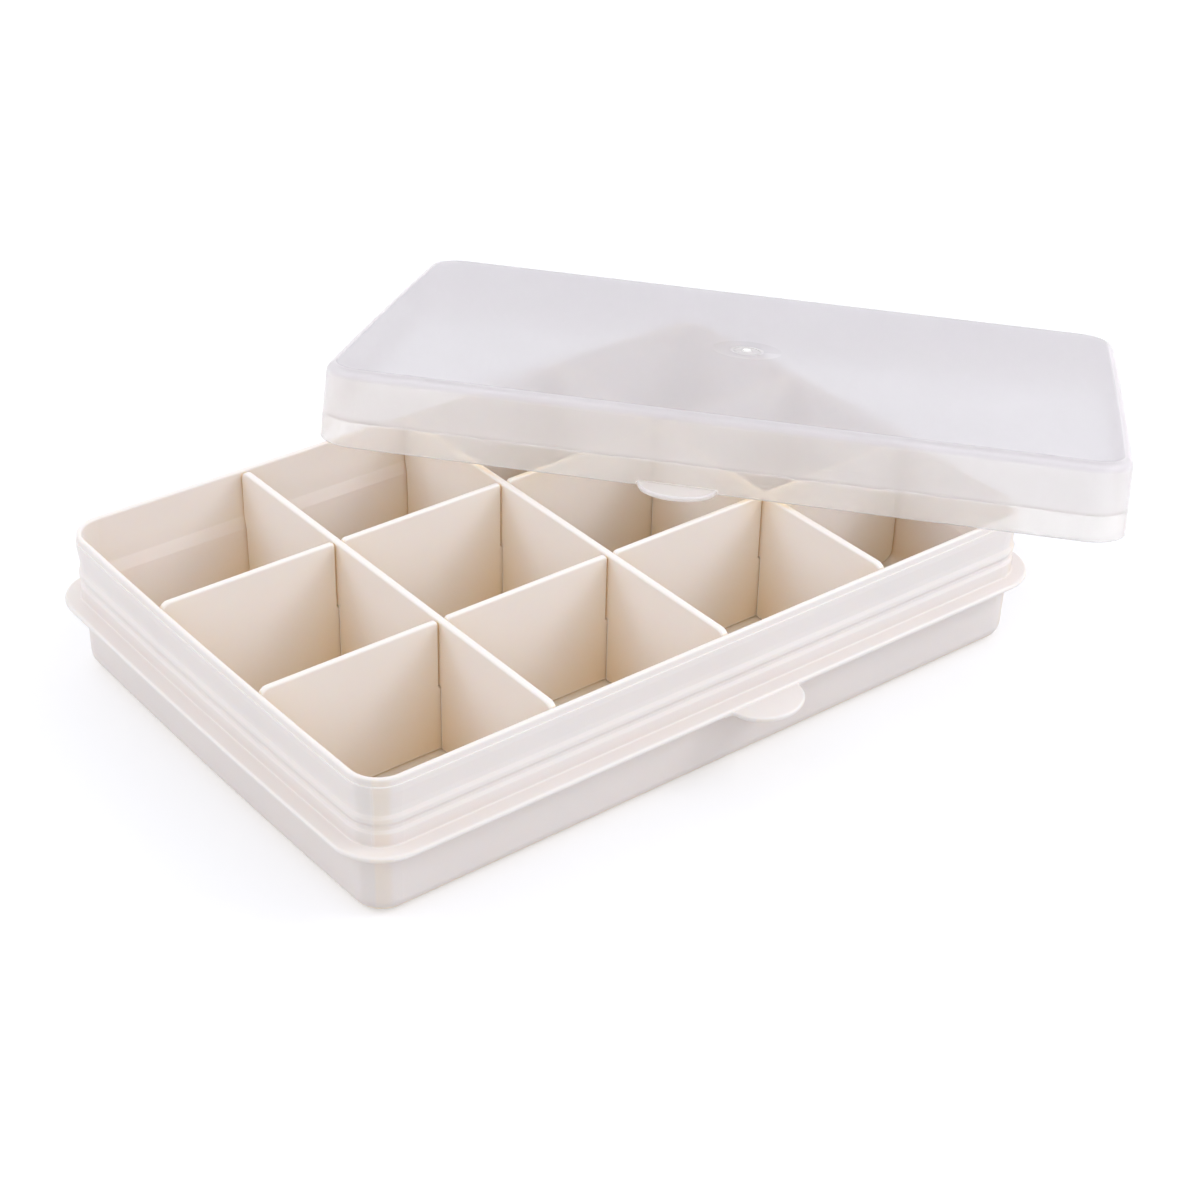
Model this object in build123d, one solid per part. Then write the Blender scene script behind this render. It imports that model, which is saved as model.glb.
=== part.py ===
from build123d import *
import math
import os

os.makedirs("parts", exist_ok=True)

# Tray plan, measured at the rim
rim_length = 250.0
rim_width = 167.6
rim_corner = 11.0
side_bow = 1.1
rim_height = 46.8

# Tray wall
floor_thickness = 1.6
wall_thickness = 1.7
lip_inset = 0.3
lip_height = 2.4
neck_inset = 0.65
seam_width = 0.4
seam_height = 0.12
seam_turn = 45.0
bead_height = 33.0
bead_half = 2.0
notch_inset = 0.7
flange_top = 24.7
flange_thickness = 1.8
flange_reach = 5.0
lower_inset = 1.0
bottom_inset = 1.5
bottom_round = 4.9
inner_step_top = 30.3
inner_step_base = 26.2
inner_inset = 3.0
inner_round = 3.5
floor_edge = 8.0

# Finger tabs
tab_chord = 25.0
tab_thickness = 1.6
tab_edge_round = 0.6
web_round = 1.6
tray_tab_reach = 10.5
tray_tab_offset = 10.5
tray_tab_drop = 0.7
tray_tab_root = 3.0
lid_tab_reach = 12.5
lid_tab_offset = -10.9
lid_tab_root = 0.7

# Lid
lid_gap = 4.1
lid_corner = 14.0
lid_bow = 0.7
lid_depth = 25.0
lid_top_round = 3.6
lid_thickness = 1.6
lid_draft = 1.1
band_thickness = 1.2
fin_depth = 15.9
fin_thickness = 1.0
fin_reach = 4.05
fin_round = 0.3
gate_dish = 12.0
gate_depth = 0.3
gate_ring = 4.4
gate_groove = 0.35
gate_pip = 1.5

# Where the lid leans on the tray, its height taken from the rim
lid_place = (112.74, 39.75)
lid_rise = 8.95
lid_turn = -47.53
lid_pitch = -12.04
lid_roll = 1.56

# Dividers
column_count = 4
row_count = 3
column_pitch = 62.33
row_pitch = 54.4
divider_top = 47.1
cross_thickness = 2.4
long_thickness = 2.0
divider_end_round = 3.0
divider_edge_round = 0.7
mouth_round = 1.4
slot_corner = 0.6
slot_gap = 0.5
fit_gap = 0.3


def side_circle(length, width, bow):
    radius = ((width / 2) ** 2 + bow ** 2) / (2 * bow)
    return length / 2 + bow - radius, radius


def ring_path(length, width, corner, bow, grow=0.0):
    # Rounded rectangle with bowed short sides, starting mid front
    centre, big = side_circle(length, width, bow)
    big = big + grow
    small = corner + grow
    half = width / 2 + grow
    rise = half - small
    corner_x = centre + math.sqrt((big - small) ** 2 - rise ** 2)
    slope = math.atan2(rise, corner_x - centre)
    touch = (centre + big * math.cos(slope), big * math.sin(slope))
    middle = (math.pi / 2 + slope) / 2
    knee = (corner_x + small * math.cos(middle), rise + small * math.sin(middle))
    tip = centre + big

    def arc(a, b, c):
        return Edge.make_three_point_arc((*a, 0), (*b, 0), (*c, 0))

    def line(a, b):
        return Edge.make_line((*a, 0), (*b, 0))

    edges = [
        line((0, -half), (corner_x, -half)),
        arc((corner_x, -half), (knee[0], -knee[1]), (touch[0], -touch[1])),
        arc((touch[0], -touch[1]), (tip, 0), touch),
        arc(touch, knee, (corner_x, half)),
        line((corner_x, half), (-corner_x, half)),
        arc((-corner_x, half), (-knee[0], knee[1]), (-touch[0], touch[1])),
        arc((-touch[0], touch[1]), (-tip, 0), (-touch[0], -touch[1])),
        arc((-touch[0], -touch[1]), (-knee[0], -knee[1]), (-corner_x, -half)),
        line((-corner_x, -half), (0, -half)),
    ]
    return Wire(edges)


def soft_face(corners):
    # Closed outline from (x, y, radius) corners, each rounded by its own radius
    count = len(corners)
    starts = []
    ends = []
    middles = []
    for i in range(count):
        before = Vector(corners[i - 1][0], corners[i - 1][1])
        here = Vector(corners[i][0], corners[i][1])
        after = Vector(corners[(i + 1) % count][0], corners[(i + 1) % count][1])
        radius = corners[i][2]
        back = (before - here).normalized()
        ahead = (after - here).normalized()
        if radius == 0:
            starts.append(here)
            ends.append(here)
            middles.append(None)
            continue
        half_angle = math.acos(max(-1.0, min(1.0, back.dot(ahead)))) / 2
        reach = radius / math.tan(half_angle)
        bisector = (back + ahead).normalized()
        centre = here + bisector * (radius / math.sin(half_angle))
        starts.append(here + back * reach)
        ends.append(here + ahead * reach)
        middles.append(centre - bisector * radius)
    edges = []
    for i in range(count):
        if middles[i] is not None:
            edges.append(Edge.make_three_point_arc(starts[i], middles[i], ends[i]))
        follow = starts[(i + 1) % count]
        if (follow - ends[i]).length > 1e-6:
            edges.append(Edge.make_line(ends[i], follow))
    return Face(Wire(edges))


def sweep_round(profile, path, half):
    # Sweep a wall section (outward, up) round the plan outline
    station = Plane(origin=(0, -half, 0), x_dir=(0, -1, 0), z_dir=(-1, 0, 0))
    return sweep(station * profile, path=path)


def finger_tab(centre, edge, reach, root):
    # Half moon with a small web at each end, rounded along its free edge
    half = tab_chord / 2
    moon = Pos(centre, -edge) * Ellipse(half, reach)
    strip = Pos(centre, -edge + root / 2) * Rectangle(tab_chord + 6, root)
    behind = Pos(centre, -edge + root) * Rectangle(
        2 * tab_chord, 3 * reach, align=(Align.CENTER, Align.MIN)
    )
    outline = moon + strip - behind
    webs = [
        v for v in outline.vertices()
        if abs(v.Y + edge) < 0.01 and abs(abs(v.X - centre) - half) < 0.01
    ]
    outline = fillet(webs, web_round)
    tab = extrude(outline, tab_thickness, dir=(0, 0, 1))
    return fillet(tab.edges().filter_by(GeomType.ELLIPSE), tab_edge_round)


def wall_section():
    top = rim_height
    foot = inner_inset + 0.3
    return soft_face([
        (-lip_inset - wall_thickness, top, 0.75),
        (-lip_inset, top, 0.75),
        (-lip_inset, top - lip_height, 0.12),
        (0, top - lip_height, 0.15),
        (0, top - lip_height - 2.2, 2.0),
        (-neck_inset, bead_height + bead_half + 1.6, 2.0),
        (-neck_inset, bead_height + bead_half - 0.2, 0.7),
        (0, bead_height + 0.6, 1.0),
        (0, bead_height - 0.6, 1.0),
        (-notch_inset, bead_height - bead_half, 0.5),
        (-notch_inset, bead_height - bead_half - 1.1, 0.5),
        (-0.1, bead_height - bead_half - 2.1, 0.7),
        (-0.1, flange_top, 0.4),
        (flange_reach, flange_top, 0.85),
        (flange_reach, flange_top - flange_thickness, 0.85),
        (-lower_inset, flange_top - flange_thickness, 0.5),
        (-bottom_inset, 0, bottom_round),
        (-floor_edge, 0, 0),
        (-floor_edge, floor_thickness, 0),
        (-foot, floor_thickness, inner_round),
        (-inner_inset, inner_step_base, 1.5),
        (-lip_inset - wall_thickness, inner_step_top, 1.5),
    ])


def seam_rib(corner_x, corner_y):
    # Fine upright line where the mould's sides met, on the neck of one corner
    top = rim_height - lip_height
    sheet = soft_face([
        (-neck_inset - 0.6, flange_top - 0.3, 0),
        (seam_height - 0.1, flange_top - 0.3, 0),
        (seam_height - 0.1, bead_height - bead_half - 2.1, 0.5),
        (seam_height - notch_inset, bead_height - bead_half - 1.1, 0.5),
        (seam_height - notch_inset, bead_height - bead_half, 0.5),
        (seam_height, bead_height - 0.6, 1.0),
        (seam_height, bead_height + 0.6, 1.0),
        (seam_height - neck_inset, bead_height + bead_half - 0.2, 0.7),
        (seam_height - neck_inset, bead_height + bead_half + 1.6, 2.0),
        (seam_height, top - 2.2, 2.0),
        (seam_height, top - 0.2, 0),
        (-neck_inset - 0.6, top - 0.2, 0),
    ])
    rib = Rot(90, 0, 0) * extrude(Pos(rim_corner, 0) * sheet, seam_width / 2, both=True)
    turn = math.degrees(math.atan2(corner_y, corner_x))
    side = math.copysign(seam_turn, turn) if abs(turn) < 90 else math.copysign(180 - seam_turn, turn)
    return Pos(corner_x, corner_y, 0) * Rot(0, 0, side) * rib


def build_tray():
    path = ring_path(rim_length, rim_width, rim_corner, side_bow)
    shell = sweep_round(wall_section(), path, rim_width / 2)
    inside = ring_path(rim_length, rim_width, rim_corner, side_bow, 0.5 - floor_edge)
    shell += extrude(Face(inside), floor_thickness)
    edge = rim_width / 2 + flange_reach
    level = flange_top - tray_tab_drop - tab_thickness
    tab = finger_tab(tray_tab_offset, edge - 0.3, tray_tab_reach, tray_tab_root)
    shell += Pos(0, 0, level) * tab
    corners = [edge for edge in path.edges() if edge.geom_type == GeomType.CIRCLE and edge.radius < 2 * rim_corner]
    for centre in [edge.arc_center for edge in corners]:
        shell += seam_rib(centre.X, centre.Y)
    return shell


def lid_section():
    # A thicker upper wall, a thin fin that meets the tray's bead, and a thin band below it
    wall = lid_draft + lid_thickness
    fin_base = fin_depth + fin_thickness
    return soft_face([
        (0, -lid_depth, 0.5),
        (-lid_draft, 0, lid_top_round),
        (-12.0, 0, 0),
        (-12.0, -lid_thickness, 0),
        (-wall, -lid_thickness, 2.0),
        (-lid_thickness - 0.4, -fin_depth, fin_round),
        (-fin_reach, -fin_depth, fin_round),
        (-fin_reach, -fin_base, fin_round),
        (-band_thickness - 0.2, -fin_base, fin_round),
        (-band_thickness, -lid_depth, 0.4),
    ])


def build_lid():
    length = rim_length + 2 * lid_gap
    width = rim_width + 2 * lid_gap
    path = ring_path(length, width, lid_corner, lid_bow)
    shell = sweep_round(lid_section(), path, width / 2)
    inside = ring_path(length, width, lid_corner, lid_bow, -11.0)
    shell += Pos(0, 0, -lid_thickness) * extrude(Face(inside), lid_thickness)
    tab = finger_tab(lid_tab_offset, width / 2 - 0.4, lid_tab_reach, lid_tab_root)
    shell += Pos(0, 0, -lid_depth) * tab
    dish = (gate_dish ** 2 + gate_depth ** 2) / (2 * gate_depth)
    shell -= Pos(0, 0, dish - gate_depth) * Sphere(dish)
    shell -= Pos(0, 0, -gate_depth + 0.1) * Torus(gate_ring, gate_groove)
    pip = Pos(0, 0, -gate_depth - 0.3) * Cylinder(
        gate_pip, gate_depth + 0.55, align=(Align.CENTER, Align.CENTER, Align.MIN)
    )
    pip = fillet(pip.edges().group_by(Axis.Z)[-1], 0.35)
    shell += pip
    lean = Pos(*lid_place, rim_height + lid_rise) * Rot(0, 0, lid_turn) * Rot(lid_pitch, 0, 0) * Rot(0, lid_roll, 0)
    return lean * shell


def divider_plate(half_span, thickness):
    # Upright plate in the XZ plane, its ends following the tray's inner wall
    low = floor_thickness + fit_gap
    wide = half_span - lip_inset - wall_thickness - fit_gap
    narrow = half_span - inner_inset - fit_gap
    foot = narrow - 0.3
    sheet = soft_face([
        (-foot, low, inner_round + 0.4),
        (foot, low, inner_round + 0.4),
        (narrow, inner_step_base, 1.5),
        (wide, inner_step_top + 0.3, 1.5),
        (wide, divider_top, divider_end_round),
        (-wide, divider_top, divider_end_round),
        (-wide, inner_step_top + 0.3, 1.5),
        (-narrow, inner_step_base, 1.5),
    ])
    plate = extrude(sheet, thickness / 2, both=True)
    plate = Rot(90, 0, 0) * plate
    long_edges = plate.edges().filter_by(Axis.X).group_by(Axis.Z)[-1]
    return plate, long_edges


def slot_positions(count, pitch):
    return [(i - (count - 2) / 2) * pitch for i in range(count - 1)]


def slot_cutter(width, end, upward):
    # A slot with rounded end corners, open downward or upward from its end
    depth = 2 * rim_height
    sheet = Pos(0, end) * RectangleRounded(width, depth, slot_corner)
    cutter = Rot(90, 0, 0) * extrude(sheet, 5, both=True)
    return Pos(0, 0, (depth if upward else -depth) / 2) * cutter


def build_cross_divider(x):
    middle = (divider_top + floor_thickness) / 2
    plate, long_edges = divider_plate(rim_width / 2, cross_thickness)
    plate = fillet(long_edges, divider_edge_round)
    cutter = slot_cutter(long_thickness + 2 * fit_gap, middle + slot_gap / 2, False)
    for y in slot_positions(row_count, row_pitch):
        plate -= Pos(y, 0, 0) * cutter
    return Pos(x, 0, 0) * Rot(0, 0, 90) * plate


def build_long_divider(y):
    middle = (divider_top + floor_thickness) / 2
    centre, radius = side_circle(rim_length, rim_width, side_bow)
    half_span = centre + math.sqrt(radius ** 2 - (abs(y) + long_thickness / 2) ** 2)
    plate, long_edges = divider_plate(half_span, long_thickness)
    gap = cross_thickness + 2 * fit_gap
    slots = slot_positions(column_count, column_pitch)
    cutter = slot_cutter(gap, middle - slot_gap / 2, True)
    for x in slots:
        plate -= Pos(x, 0, 0) * cutter
    mouths = [
        e for e in plate.edges().filter_by(Axis.Y)
        if e.center().Z > divider_top - 0.01
        and any(abs(abs(e.center().X - x) - gap / 2) < 0.01 for x in slots)
    ]
    plate = fillet(mouths, mouth_round)
    top_edges = [e for e in plate.edges().filter_by(Axis.X) if e.center().Z > divider_top - 0.01]
    plate = fillet(top_edges, divider_edge_round)
    return Pos(0, y, 0) * plate


pieces = {"tray": build_tray(), "lid": build_lid()}
for name, x in zip(("left", "middle", "right"), slot_positions(column_count, column_pitch)):
    pieces["cross_divider_" + name] = build_cross_divider(x)
for name, y in zip(("front", "back"), slot_positions(row_count, row_pitch)):
    pieces["long_divider_" + name] = build_long_divider(y)

for name, piece in pieces.items():
    solid = piece.solids()[0] if len(piece.solids()) == 1 else piece
    export_step(solid, "parts/" + name + ".step")
    print(name, len(piece.solids()), round(piece.volume), piece.is_valid)
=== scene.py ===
import math

import bpy
from mathutils import Euler, Matrix, Vector

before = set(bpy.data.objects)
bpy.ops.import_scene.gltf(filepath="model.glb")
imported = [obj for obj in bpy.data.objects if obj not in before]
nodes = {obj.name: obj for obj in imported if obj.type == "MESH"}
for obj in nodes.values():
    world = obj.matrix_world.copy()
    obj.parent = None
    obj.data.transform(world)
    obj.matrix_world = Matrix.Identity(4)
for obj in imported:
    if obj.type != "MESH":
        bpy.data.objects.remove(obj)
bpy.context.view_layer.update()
print("stage: frame loaded,", len(nodes), "pieces")

unit = (0.0, 1.0)
fading = (1.0, 0.0)
black = (0.0, 0.0, 0.0)
white = (1.0, 1.0, 1.0)

# What the ivory and the frosted plastic have in common
plastic = {
    "bend": 1.49,
    "cloudDetail": 3.0,
    "cloudSpan": (0.35, 0.65),  # the part of the noise that is stretched from 0 to 1
    "smearSpan": (0.3, 0.7),  # the same where the noise varies the roughness
    "edgeSamples": 4,
}


def newMaterial(name):
    material = bpy.data.materials.new(name)
    material.use_nodes = True
    material.node_tree.nodes.clear()
    return material, material.node_tree


def put(tree, kind, values=None, **settings):
    # One shader node, with its settings and the values of its own sockets
    node = tree.nodes.new(kind)
    for key, value in settings.items():
        setattr(node, key, value)
    for key, value in (values or {}).items():
        node.inputs[key].default_value = value
    return node


def feed(tree, value, socket):
    # Joins another node's output to the socket, or sets a colour or a number on it
    if isinstance(value, bpy.types.NodeSocket):
        tree.links.new(value, socket)
    elif isinstance(value, tuple):
        socket.default_value = (*value, 1.0)
    else:
        socket.default_value = value


def ranged(tree, source, span, result=unit, smooth=False):
    low, high = span
    newLow, newHigh = result
    node = put(tree, "ShaderNodeMapRange", {1: low, 2: high, 3: newLow, 4: newHigh})
    if smooth:
        node.interpolation_type = "SMOOTHSTEP"
    feed(tree, source, node.inputs[0])
    return node.outputs[0]


def mixColour(tree, factor, first, second):
    node = put(tree, "ShaderNodeMix", data_type="RGBA")
    for index, value in ((0, factor), (6, first), (7, second)):  # its colours are sockets 6 and 7
        feed(tree, value, node.inputs[index])
    return node.outputs[2]


def mixValue(tree, factor, first, second):
    node = put(tree, "ShaderNodeMix", data_type="FLOAT")
    for index, value in ((0, factor), (2, first), (3, second)):  # its numbers are sockets 2 and 3
        feed(tree, value, node.inputs[index])
    return node.outputs[0]


def mixShader(tree, factor, first, second):
    node = put(tree, "ShaderNodeMixShader")
    for socket, value in zip(node.inputs, (factor, first, second)):
        feed(tree, value, socket)
    return node.outputs[0]


def calculated(tree, operation, *terms):
    node = put(tree, "ShaderNodeMath", operation=operation)
    for socket, term in zip(node.inputs, terms):
        feed(tree, term, socket)
    return node.outputs[0]


def vectorWork(tree, operation, *terms):
    node = put(tree, "ShaderNodeVectorMath", operation=operation)
    for socket, term in zip(node.inputs, terms):
        feed(tree, term, socket)
    return node.outputs


def parts(tree, vector):
    node = put(tree, "ShaderNodeSeparateXYZ")
    feed(tree, vector, node.inputs[0])
    return node.outputs


def faceNormal(tree):
    return put(tree, "ShaderNodeNewGeometry").outputs["Normal"]


def noise(tree, space, scale, detail=1.0, roughness=0.5):
    values = {"Scale": scale, "Detail": detail, "Roughness": roughness}
    node = put(tree, "ShaderNodeTexNoise", values)
    feed(tree, space, node.inputs["Vector"])
    return node.outputs[0]


def bumped(tree, height, distance, under=None):
    node = put(tree, "ShaderNodeBump", {"Strength": 1.0, "Distance": distance})
    feed(tree, height, node.inputs["Height"])
    if under is not None:
        feed(tree, under, node.inputs["Normal"])
    return node.outputs[0]


def wavyNormals(tree, space, look):
    # The slow waves of a moulded wall, and the same with a fine grain on them
    wave = bumped(tree, noise(tree, space, look["waveScale"]), look["waveHeight"])
    grain = noise(tree, space, look["grainScale"])
    return wave, bumped(tree, grain, look["grainHeight"], under=wave)


def edgeMask(tree, look):
    # 0 on flat faces, rising to 1 on rounded edges
    samples = plastic["edgeSamples"]
    soft = put(tree, "ShaderNodeBevel", {"Radius": look["edgeRadius"]}, samples=samples)
    turned = vectorWork(tree, "DOT_PRODUCT", soft.outputs[0], faceNormal(tree))
    return ranged(tree, turned["Value"], (1.0, look["edgeSharp"]))


# Tray: satin ivory polypropylene, a little translucent
trayLook = {
    "pale": (0.872, 0.824, 0.806),
    "paleCloud": (0.862, 0.810, 0.786),
    "cloudScale": 11.0,
    "paintedShade": (0.850, 0.658, 0.412),  # painted shade, mixed in where the plastic is sheltered
    "outerPaintedShade": (0.740, 0.675, 0.650),  # the painted shade on the outer walls, which the floor shades
    "floorPaintedShade": (1.0, 0.830, 0.62),  # the painted shade on the inner floor
    "floorFade": (0.0019, 0.0032),  # heights
    "outsideSpan": (0.010, 0.018),  # how far from the origin an outward face's plane passes
    "shadeReach": 0.036,
    "shadeSpan": (0.12, 0.71),
    "shadeSamples": 6,
    # painted shade on the outer corners
    "cornerShadeGrey": (0.795, 0.752, 0.725),
    "cornerShadeWarm": (0.850, 0.765, 0.680),
    "cornerShadeStrength": 0.9,
    "cornerSpan": (0.22, 0.40),
    "cornerBlend": (-0.06, 0.06),
    # paler along the rounded edges, a painted highlight
    "paintedEdgeHighlight": (0.92, 0.885, 0.86),
    "edgeRadius": 0.0009,
    "edgeSharp": 0.93,
    "rough": (0.34, 0.44),
    "smearScale": 78.0,
    "smearDetail": 4.0,
    "smearRoughness": 0.6,
    "shine": 1.0,
    "grainScale": 2400.0,
    "grainHeight": 0.00002,
    "waveScale": 26.0,
    "waveHeight": 0.00025,
    "subsurface": 0.30,
    "scatter": 0.0035,
    "bleed": (1.0, 0.72, 0.5),
}

# Dividers: the same plastic, moulded thinner, with its colour painted a little paler than the
# tray's, a painted light that lightens the cells
dividerLook = trayLook | {
    "pale": (0.905, 0.860, 0.838),
    "paleCloud": (0.897, 0.848, 0.820),
    "paintedShade": (0.880, 0.685, 0.428),
    "outerPaintedShade": (0.880, 0.685, 0.428),
    "shadeSpan": (0.12, 0.77),
    "cornerShadeStrength": 0.0,
}


def cornerShading(tree, look, colour, normal, outside):
    # Painted shade on each outer corner, greyer before its mould line and warmer after it
    side = parts(tree, vectorWork(tree, "ABSOLUTE", normal)[0])
    both = calculated(tree, "MULTIPLY", side["X"], side["Y"])
    corner = ranged(tree, both, look["cornerSpan"], (0.0, look["cornerShadeStrength"]), True)
    past = calculated(tree, "SUBTRACT", side["Y"], side["X"])
    warm = ranged(tree, past, look["cornerBlend"], smooth=True)
    tone = mixColour(tree, warm, look["cornerShadeGrey"], look["cornerShadeWarm"])
    return mixColour(tree, calculated(tree, "MULTIPLY", corner, outside), colour, tone)


def ivoryPlastic(name, look):
    # Painted shade, warmer where it is sheltered, and a painted highlight, paler along its edges
    material, tree = newMaterial(name)
    space = put(tree, "ShaderNodeTexCoord").outputs["Object"]
    cloud = noise(tree, space, look["cloudScale"], plastic["cloudDetail"])
    cloudy = ranged(tree, cloud, plastic["cloudSpan"])
    colour = mixColour(tree, cloudy, look["paleCloud"], look["pale"])

    facing = faceNormal(tree)
    outward = vectorWork(tree, "DOT_PRODUCT", facing, space)["Value"]
    outside = ranged(tree, outward, look["outsideSpan"])
    if look["cornerShadeStrength"]:
        colour = cornerShading(tree, look, colour, facing, outside)

    paintedShade = mixColour(tree, outside, look["paintedShade"], look["outerPaintedShade"])
    onFloor = ranged(tree, parts(tree, space)["Z"], look["floorFade"], fading)
    paintedShade = mixColour(tree, onFloor, paintedShade, look["floorPaintedShade"])
    # Painted shade: the sheltered colours are mixed in where ambient occlusion finds the face
    # hemmed in
    lit = put(tree, "ShaderNodeAmbientOcclusion", {"Distance": look["shadeReach"]})
    lit.samples = look["shadeSamples"]
    shade = ranged(tree, lit.outputs["AO"], look["shadeSpan"])
    colour = mixColour(tree, shade, paintedShade, colour)
    # Painted highlight: paler colour along the rounded edges
    colour = mixColour(tree, edgeMask(tree, look), colour, look["paintedEdgeHighlight"])

    smear = noise(tree, space, look["smearScale"], look["smearDetail"], look["smearRoughness"])
    skin = put(tree, "ShaderNodeBsdfPrincipled", {
        "IOR": plastic["bend"],
        "Specular IOR Level": look["shine"],
        "Subsurface Weight": look["subsurface"],
        "Subsurface Radius": look["bleed"],
        "Subsurface Scale": look["scatter"],
    })
    feed(tree, colour, skin.inputs["Base Color"])
    feed(tree, ranged(tree, smear, plastic["smearSpan"], look["rough"]), skin.inputs["Roughness"])
    feed(tree, wavyNormals(tree, space, look)[1], skin.inputs["Normal"])
    feed(tree, skin.outputs[0], put(tree, "ShaderNodeOutputMaterial").inputs["Surface"])
    return material


# Lid: natural polypropylene. A zone's tint is its milky part's colour, clear and rough are its
# clear part's share and roughness, and hold is how much of the clear share is lost there
lidLook = {
    "place": (0.11274, 0.03975, 0.05575),  # how the lid leans, as in the CAD model
    "turn": -47.53,
    "pitch": -12.04,
    "roll": 1.56,
    "plate": {"tint": (0.590, 0.572, 0.618), "clear": 0.59, "rough": 0.17},
    "skirt": {"tint": (0.900, 0.875, 0.872), "clear": 0.42, "rough": 0.14},
    "band": {"tint": (0.960, 0.900, 0.875), "clear": 0.60, "rough": 0.09},
    # painted highlight on the rounded shoulder between plate and skirt
    "shoulderHighlight": {"tint": (0.755, 0.735, 0.760), "hold": 0.45},
    # painted highlight along the rounded edges
    "edgeHighlight": {"tint": (0.97, 0.96, 0.96), "hold": 0.85},
    "gate": {"tint": (0.635, 0.615, 0.625), "hold": 0.70},
    # painted highlight on the gate pip
    "pipHighlight": {"tint": (0.97, 0.96, 0.96), "hold": 0.85},
    "graze": {"hold": 0.75},  # faces seen along their surface
    "skirtSpan": (-0.0004, -0.0032),  # heights in the lid's own frame, down from its plate
    "bandSpan": (-0.0152, -0.0172),
    "edgeSpan": (-0.0012, -0.0004),
    "frontSpan": (-0.0889, -0.0879),  # only the finger tab reaches past the front wall
    "shoulderLow": (0.05, 0.45),  # how squarely a face looks the way the plate does
    "shoulderHigh": (0.975, 0.9995),
    "gateSpan": (0.0050, 0.0062),  # distances from the plate's centre
    "pipSpan": (0.0014, 0.0018),
    "grazeSpan": (0.72, 0.95),
    "grazeBlend": 0.5,
    "edgeRadius": 0.0007,
    "edgeSharp": 0.9,
    "cloudScale": 16.0,
    "cloudDepth": 0.03,
    "clearTint": (0.975, 0.97, 0.965),
    "clearBend": 1.14,
    "milkRough": (0.31, 0.37),
    "coat": 0.8,
    "coatRough": 0.13,
    "grainScale": 1800.0,
    "grainHeight": 0.00002,
    "waveScale": 18.0,
    "waveHeight": 0.0004,
    "scatter": 0.002,
    "bleed": (1.0, 0.95, 1.0),
    "lampShare": 0.97,  # how much of the lamps' light each face lets through
}


def lidRotation(look):
    turn = Matrix.Rotation(math.radians(look["turn"]), 3, "Z")
    pitch = Matrix.Rotation(math.radians(look["pitch"]), 3, "X")
    roll = Matrix.Rotation(math.radians(look["roll"]), 3, "Y")
    return turn @ pitch @ roll


def lidZones(tree, look, local):
    # How far each face belongs to each zone, from coordinates in the lid's own frame
    spot = parts(tree, local)
    below = ranged(tree, spot["Z"], look["bandSpan"], smooth=True)
    inside = ranged(tree, spot["Y"], look["frontSpan"], smooth=True)
    offPlate = ranged(tree, spot["Z"], look["edgeSpan"], fading)
    plateNormal = lidRotation(look) @ Vector((0, 0, 1))
    upright = vectorWork(tree, "DOT_PRODUCT", faceNormal(tree), plateNormal)["Value"]
    leaning = ranged(tree, upright, look["shoulderLow"], smooth=True)
    notFlat = ranged(tree, upright, look["shoulderHigh"], fading, True)
    fromCentre = vectorWork(tree, "LENGTH", local)["Value"]
    seenAlong = put(tree, "ShaderNodeLayerWeight", {"Blend": look["grazeBlend"]})
    return {
        "skirt": ranged(tree, spot["Z"], look["skirtSpan"], smooth=True),
        "band": calculated(tree, "MULTIPLY", below, inside),
        "shoulderHighlight": calculated(tree, "MULTIPLY", leaning, notFlat),
        "edgeHighlight": calculated(tree, "MULTIPLY", edgeMask(tree, look), offPlate),
        "gate": ranged(tree, fromCentre, look["gateSpan"], fading, True),
        "pipHighlight": ranged(tree, fromCentre, look["pipSpan"], fading, True),
        "graze": ranged(tree, seenAlong.outputs["Facing"], look["grazeSpan"], smooth=True),
    }


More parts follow.
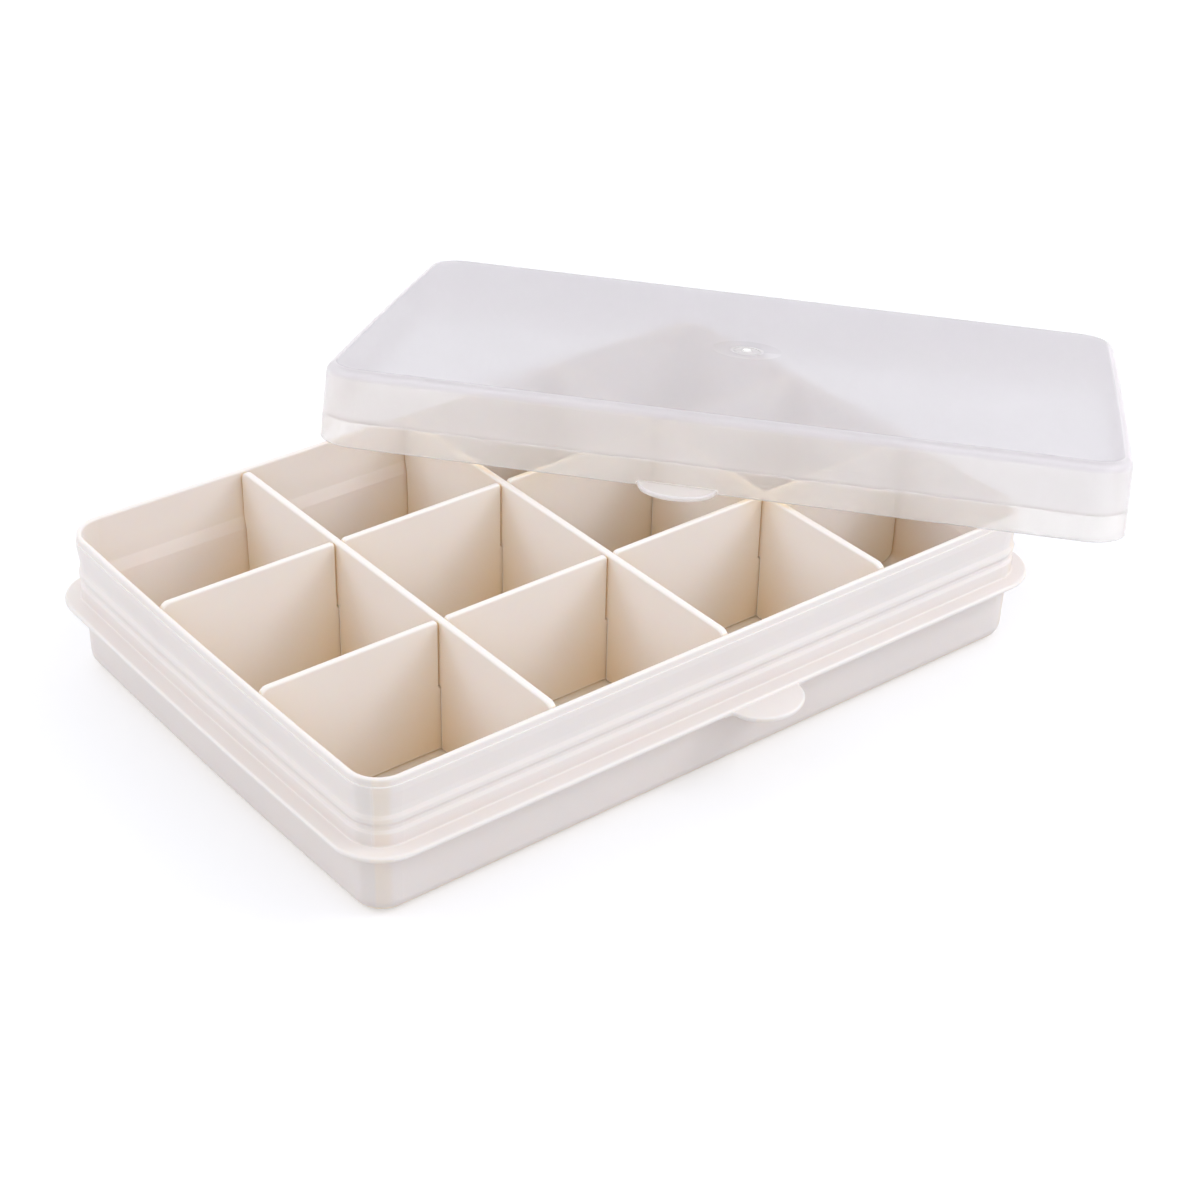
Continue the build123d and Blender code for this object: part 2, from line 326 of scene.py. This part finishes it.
def frostedPlastic(name, look):
    # Milky and clear plastic, mixed zone by zone, with painted highlights on the shoulder, the
    # rounded edges and the gate pip
    material, tree = newMaterial(name)
    placed = put(tree, "ShaderNodeMapping", {
        "Location": look["place"],
        "Rotation": lidRotation(look).to_euler("XYZ"),
    }, vector_type="TEXTURE")
    feed(tree, put(tree, "ShaderNodeTexCoord").outputs["Object"], placed.inputs["Vector"])
    local = placed.outputs[0]
    zones = lidZones(tree, look, local)
    wave, grained = wavyNormals(tree, local, look)

    cloud = noise(tree, local, look["cloudScale"], plastic["cloudDetail"])
    colour = look["plate"]["tint"]
    for zone in ("skirt", "band", "shoulderHighlight", "edgeHighlight", "gate", "pipHighlight"):
        colour = mixColour(tree, zones[zone], colour, look[zone]["tint"])
    cloudy = ranged(tree, cloud, plastic["cloudSpan"], (look["cloudDepth"], 0.0))
    colour = mixColour(tree, cloudy, colour, black)
    milkRough = ranged(tree, cloud, plastic["smearSpan"], look["milkRough"])
    coat = ranged(tree, zones["skirt"], unit, (0.0, look["coat"]))  # none on the plate
    milky = put(tree, "ShaderNodeBsdfPrincipled", {
        "IOR": plastic["bend"],
        "Subsurface Weight": 1.0,
        "Subsurface Radius": look["bleed"],
        "Subsurface Scale": look["scatter"],
        "Coat Roughness": look["coatRough"],
    })
    feed(tree, colour, milky.inputs["Base Color"])
    feed(tree, milkRough, milky.inputs["Roughness"])
    feed(tree, grained, milky.inputs["Normal"])
    feed(tree, coat, milky.inputs["Coat Weight"])

    rough, share = look["plate"]["rough"], look["plate"]["clear"]
    for zone in ("skirt", "band"):
        rough = mixValue(tree, zones[zone], rough, look[zone]["rough"])
        share = mixValue(tree, zones[zone], share, look[zone]["clear"])
    for zone in ("edgeHighlight", "shoulderHighlight", "gate", "pipHighlight", "graze"):
        kept = ranged(tree, zones[zone], unit, (1.0, 1.0 - look[zone]["hold"]))
        share = calculated(tree, "MULTIPLY", share, kept)
    clear = put(tree, "ShaderNodeBsdfPrincipled", {
        "Base Color": (*look["clearTint"], 1.0),
        "Transmission Weight": 1.0,
        "IOR": look["clearBend"],
    })
    feed(tree, rough, clear.inputs["Roughness"])
    feed(tree, wave, clear.inputs["Normal"])

    skin = mixShader(tree, share, milky.outputs[0], clear.outputs[0])
    lampRay = put(tree, "ShaderNodeLightPath").outputs["Is Shadow Ray"]
    passed = calculated(tree, "MULTIPLY", lampRay, look["lampShare"])
    through = put(tree, "ShaderNodeBsdfTransparent").outputs[0]
    both = mixShader(tree, passed, skin, through)
    feed(tree, both, put(tree, "ShaderNodeOutputMaterial").inputs["Surface"])
    return material


def dress(node, material):
    for slot in nodes[node].material_slots:
        slot.material = material


# Pale floor and sky that read white to the camera and through the lid
studio = {
    "skyColour": (1.0, 0.995, 1.01),
    "skyMiddle": 4.1,  # most of the light comes from half way up
    "skyEnds": (0.0, 0.40),  # at the horizon and overhead
    "floorColour": (0.64, 0.65, 0.68),
    "floorGlow": 0.40,
    "floorSize": 6.0,
    "floorHeight": -0.0002,  # just below the tray's underside
}


def seenRays(tree):
    path = put(tree, "ShaderNodeLightPath").outputs
    direct = calculated(tree, "MAXIMUM", path["Is Camera Ray"], path["Is Glossy Ray"])
    return calculated(tree, "MAXIMUM", direct, path["Is Transmission Ray"])


def hangSky():
    world = bpy.data.worlds.new("studioSky")
    world.use_nodes = True
    tree = world.node_tree
    tree.nodes.clear()
    up = parts(tree, put(tree, "ShaderNodeTexCoord").outputs["Generated"])["Z"]
    rise = ranged(tree, up, unit)
    ends = ranged(tree, up, unit, studio["skyEnds"])
    belt = calculated(tree, "MULTIPLY", rise, calculated(tree, "SUBTRACT", 1.0, rise))
    dome = calculated(tree, "MULTIPLY_ADD", belt, studio["skyMiddle"], ends)
    seen = seenRays(tree)
    sky = put(tree, "ShaderNodeBackground")
    feed(tree, mixColour(tree, seen, studio["skyColour"], white), sky.inputs["Color"])
    feed(tree, mixValue(tree, seen, dome, 1.0), sky.inputs["Strength"])
    feed(tree, sky.outputs[0], put(tree, "ShaderNodeOutputWorld").inputs["Surface"])
    bpy.context.scene.world = world


def layFloor():
    half = studio["floorSize"] / 2
    corners = [(-half, -half, 0), (half, -half, 0), (half, half, 0), (-half, half, 0)]
    mesh = bpy.data.meshes.new("paleFloor")
    mesh.from_pydata(corners, [], [(0, 1, 2, 3)])
    floor = bpy.data.objects.new("paleFloor", mesh)
    floor.location.z = studio["floorHeight"]
    bpy.context.scene.collection.objects.link(floor)

    material, tree = newMaterial("paleFloorPaint")
    paint = put(tree, "ShaderNodeBsdfDiffuse", {"Color": (*studio["floorColour"], 1.0)})
    glow = put(tree, "ShaderNodeEmission")
    feed(tree, mixValue(tree, seenRays(tree), 0.0, studio["floorGlow"]), glow.inputs["Strength"])
    both = put(tree, "ShaderNodeAddShader")
    feed(tree, paint.outputs[0], both.inputs[0])
    feed(tree, glow.outputs[0], both.inputs[1])
    feed(tree, both.outputs[0], put(tree, "ShaderNodeOutputMaterial").inputs["Surface"])
    mesh.materials.append(material)


# Level is how bright the lamp alone makes a white card that faces it
softboxes = {
    "size": (0.8, 0.7),
    "colour": (1.0, 0.99, 1.0),
    "target": (0.0, 0.0, 0.03),
    "lamps": {
        "leftSoftbox": {"place": (-1.15, 0.9, 1.25), "level": 0.11},
        "rightSoftbox": {"place": (1.15, -0.9, 1.25), "level": 0.22},
    },
}


def hangLamps():
    for name, lamp in softboxes["lamps"].items():
        aim = Vector(softboxes["target"]) - Vector(lamp["place"])
        light = bpy.data.lights.new(name, "AREA")
        light.shape = "RECTANGLE"
        light.size, light.size_y = softboxes["size"]
        light.energy = lamp["level"] * math.pi ** 2 * aim.length_squared
        light.color = softboxes["colour"]
        holder = bpy.data.objects.new(name, light)
        holder.location = lamp["place"]
        holder.rotation_euler = aim.to_track_quat("-Z", "Y").to_euler()
        bpy.context.scene.collection.objects.link(holder)


# Camera, as the photograph was taken
shot = {
    "place": (-0.40386, -0.52169, 0.43119),
    "turn": (57.874, -1.404, -38.309),  # degrees, XYZ
    "lens": 73.886,
    "sensor": 36.0,
    "shift": (-0.00558, -0.00038),
    "nearest": 0.01,
}


def placeCamera():
    data = bpy.data.cameras.new("shotCamera")
    data.lens = shot["lens"]
    data.sensor_width = shot["sensor"]
    data.shift_x, data.shift_y = shot["shift"]
    data.clip_start = shot["nearest"]
    camera = bpy.data.objects.new("shotCamera", data)
    camera.location = shot["place"]
    camera.rotation_euler = Euler([math.radians(angle) for angle in shot["turn"]], "XYZ")
    bpy.context.scene.collection.objects.link(camera)
    bpy.context.scene.camera = camera


ivory = ivoryPlastic("ivoryPlastic", trayLook)
divider = ivoryPlastic("dividerPlastic", dividerLook)
frosted = frostedPlastic("frostedPlastic", lidLook)
for node in nodes:
    dress(node, {"lid": frosted, "tray": ivory}.get(node, divider))
print("stage: plastics on")

hangSky()
layFloor()
hangLamps()
placeCamera()
bpy.context.scene.view_settings.view_transform = "Standard"
print("stage: studio ready")
